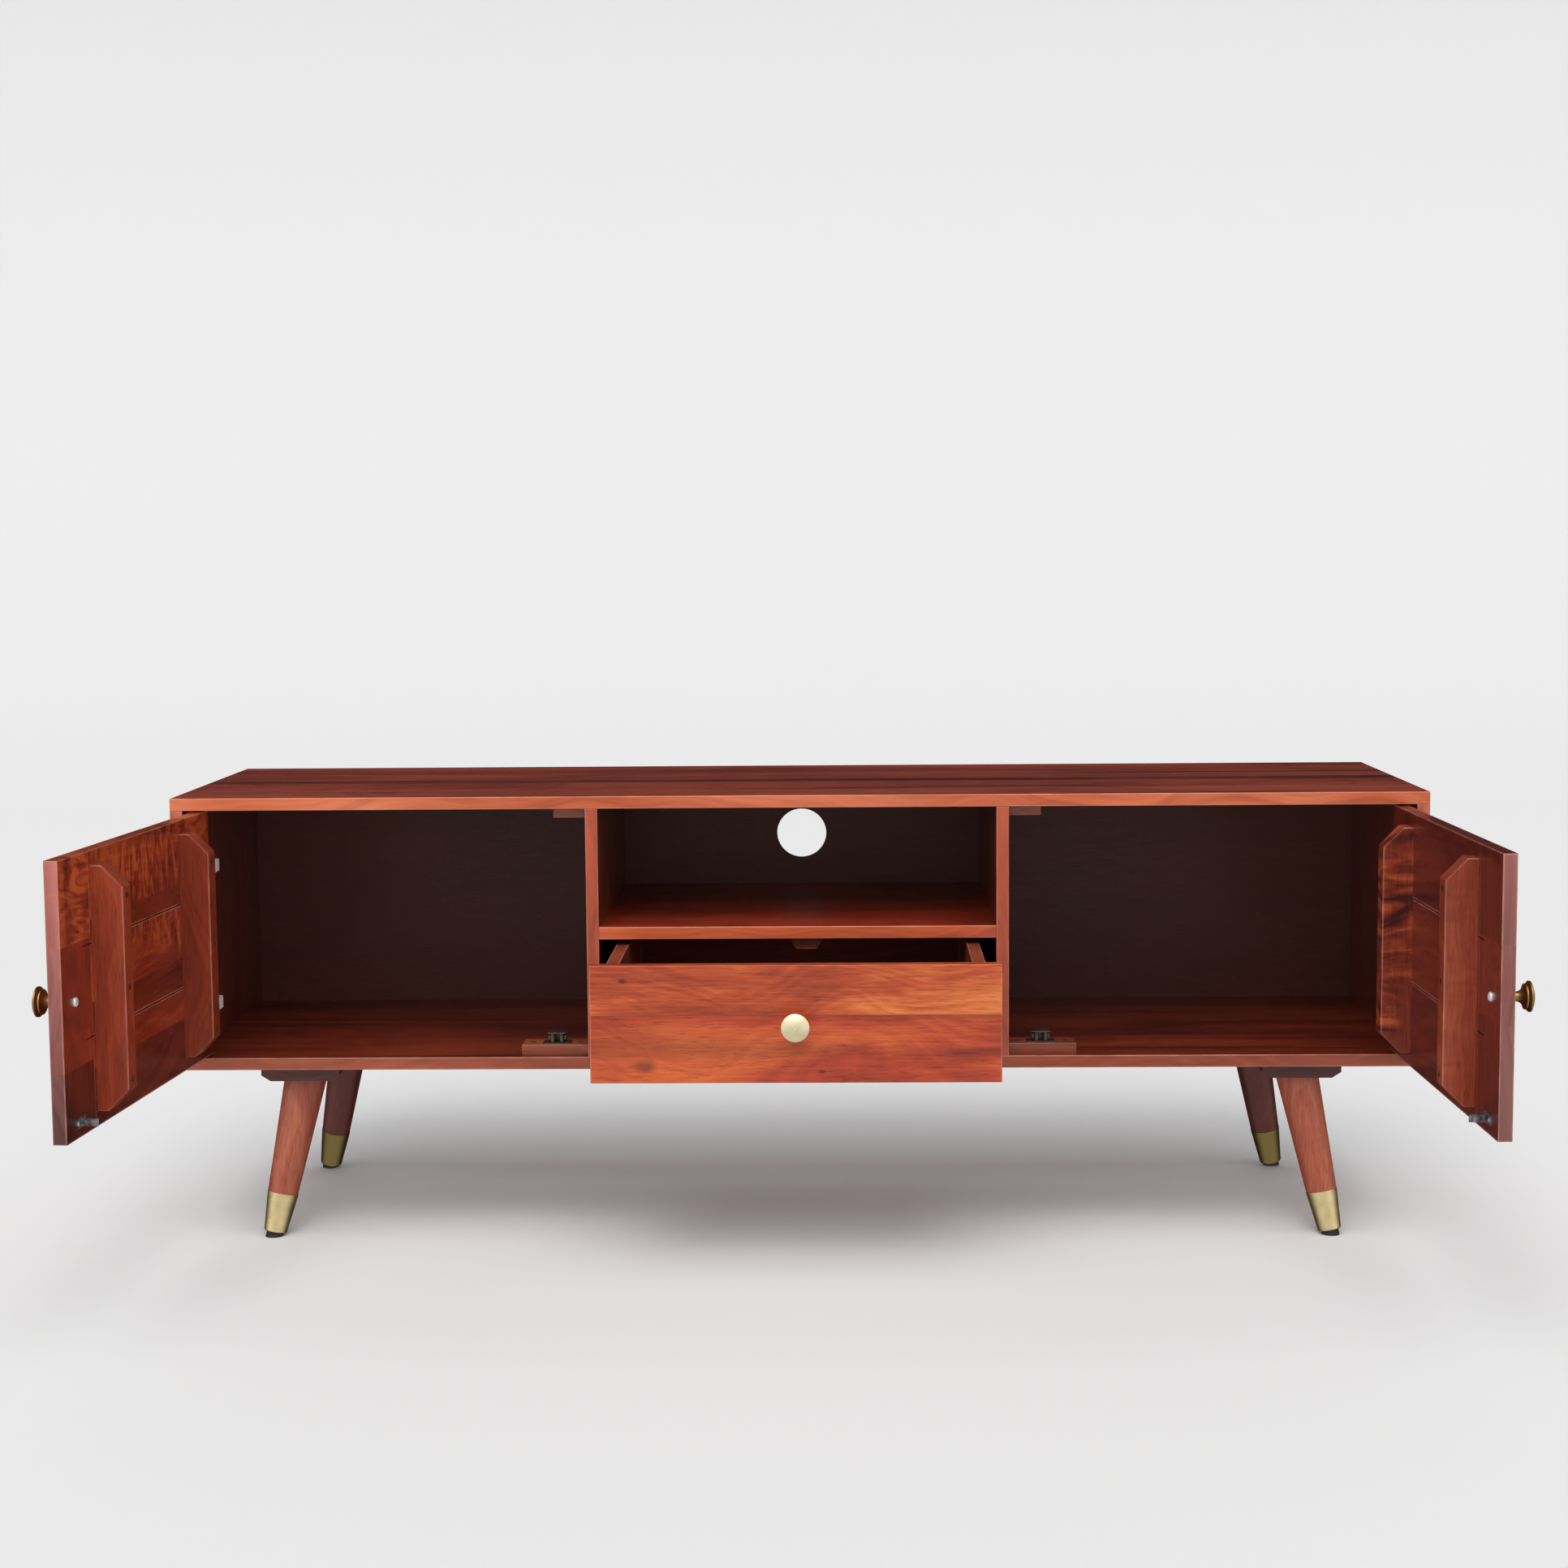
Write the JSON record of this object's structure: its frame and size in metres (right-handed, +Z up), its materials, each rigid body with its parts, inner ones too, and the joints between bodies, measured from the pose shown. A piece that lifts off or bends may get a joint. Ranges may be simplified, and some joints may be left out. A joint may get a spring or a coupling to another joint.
{
  "type": "tv stand with doors",
  "caption": "Low lacquered solid-wood media cabinet with an open shelf bay over a drawer, hinged door compartments, brass knobs and splayed tapered legs in brass ferrules.",
  "frame": {"origin": "on the floor, under the middle of the carcass in plan (half way across its width and its depth)", "axes": "+X to the right as seen from the front, +Y from the front to the rear, +Z up; the doors and drawer face -Y"},
  "size_m": [1.5452, 0.856, 0.542],
  "materials": {
    "carcass_wood": "glossy lacquer over reddish solid wood",
    "door_wood": "glossy lacquer over reddish solid wood with varied boards",
    "drawer_front_wood": "glossy lacquer over orange-red solid wood",
    "drawer_box_wood": "satin lacquer over solid wood",
    "back_wood": "plain dark stain",
    "leg_wood": "glossy lacquer over turned solid wood",
    "block_wood": "dark stain, satin",
    "dowel_wood": "bare",
    "ferrule_brass": "satin pale brass",
    "knob_brass": "antique brass, polished high spots",
    "hinge_steel": "nickel plated",
    "screw_steel": "zinc plated",
    "catch_steel": "dark bronze plating",
    "strike_steel": "dull plated",
    "glide_rubber": "matt"
  },
  "bodies": {
    "cabinet": {"top_panel": "carcass_wood", "bottom_panel": "carcass_wood", "side_panel_left": "carcass_wood", "side_panel_right": "carcass_wood", "divider_left": "carcass_wood", "divider_right": "carcass_wood", "centre_shelf": "carcass_wood", "back_panel": "back_wood", "back_panel_nails": "screw_steel", "carcass_dowels": "dowel_wood", "leg_blocks": "block_wood", "leg_front_left": "leg_wood", "leg_front_right": "leg_wood", "leg_rear_left": "leg_wood", "leg_rear_right": "leg_wood", "leg_ferrules": "ferrule_brass", "leg_glides": "glide_rubber", "leg_fixings": "screw_steel", "catch_blocks": "block_wood", "door_stops": "block_wood", "drawer_guides": "drawer_box_wood", "drawer_stop_block": "block_wood", "catch_housings": "catch_steel", "hinge_arms": "hinge_steel", "cabinet_screws": "screw_steel"},
    "left_door": {"left_door_hinge_stile": "door_wood", "left_door_free_stile": "door_wood", "left_door_board_lower": "door_wood", "left_door_board_middle": "door_wood", "left_door_board_upper": "door_wood", "left_door_batten_hinge": "door_wood", "left_door_batten_free": "door_wood", "left_door_knob": "knob_brass", "left_door_strike": "strike_steel", "left_door_hinge_cups": "hinge_steel", "left_door_screws": "screw_steel"},
    "right_door": {"right_door_hinge_stile": "door_wood", "right_door_free_stile": "door_wood", "right_door_board_lower": "door_wood", "right_door_board_middle": "door_wood", "right_door_board_upper": "door_wood", "right_door_batten_hinge": "door_wood", "right_door_batten_free": "door_wood", "right_door_knob": "knob_brass", "right_door_strike": "strike_steel", "right_door_hinge_cups": "hinge_steel", "right_door_screws": "screw_steel"},
    "drawer": {"drawer_front_lower": "drawer_front_wood", "drawer_front_upper": "drawer_front_wood", "drawer_side_left": "drawer_box_wood", "drawer_side_right": "drawer_box_wood", "drawer_back": "drawer_box_wood", "drawer_bottom": "drawer_box_wood", "drawer_knob": "knob_brass", "drawer_knob_screw": "screw_steel", "drawer_dowels": "dowel_wood"},
    "left_catch_jaw_outer": {"left_catch_jaw_outer": "catch_steel"},
    "left_catch_jaw_inner": {"left_catch_jaw_inner": "catch_steel"},
    "right_catch_jaw_outer": {"right_catch_jaw_outer": "catch_steel"},
    "right_catch_jaw_inner": {"right_catch_jaw_inner": "catch_steel"}
  },
  "joints": [
    {"name": "left_door_hinge", "type": "hinge", "parent": "cabinet", "child": "left_door", "pos_m": [-0.718, -0.1925, 0.38], "axis": [0, 0, 1], "range_deg": [-1.8, 94.2]},
    {"name": "right_door_hinge", "type": "hinge", "parent": "cabinet", "child": "right_door", "pos_m": [0.718, -0.1925, 0.38], "axis": [0, 0, -1], "range_deg": [-5.1, 90.9]},
    {"name": "drawer_slide", "type": "slide", "parent": "cabinet", "child": "drawer", "axis": [0, 1, 0], "range_m": [-0.1175, 0.155]},
    {"name": "left_catch_outer_jaw_pivot", "type": "hinge", "parent": "cabinet", "child": "left_catch_jaw_outer", "pos_m": [-0.301, -0.167, 0.246], "axis": [0, 0, -1], "range_deg": [0, 12], "stiffness_Nm_per_rad": 0.02},
    {"name": "left_catch_inner_jaw_pivot", "type": "hinge", "parent": "cabinet", "child": "left_catch_jaw_inner", "pos_m": [-0.284, -0.167, 0.246], "axis": [0, 0, 1], "range_deg": [0, 12], "stiffness_Nm_per_rad": 0.02},
    {"name": "right_catch_outer_jaw_pivot", "type": "hinge", "parent": "cabinet", "child": "right_catch_jaw_outer", "pos_m": [0.301, -0.167, 0.246], "axis": [0, 0, 1], "range_deg": [0, 12], "stiffness_Nm_per_rad": 0.02},
    {"name": "right_catch_inner_jaw_pivot", "type": "hinge", "parent": "cabinet", "child": "right_catch_jaw_inner", "pos_m": [0.284, -0.167, 0.246], "axis": [0, 0, -1], "range_deg": [0, 12], "stiffness_Nm_per_rad": 0.02}
  ]
}
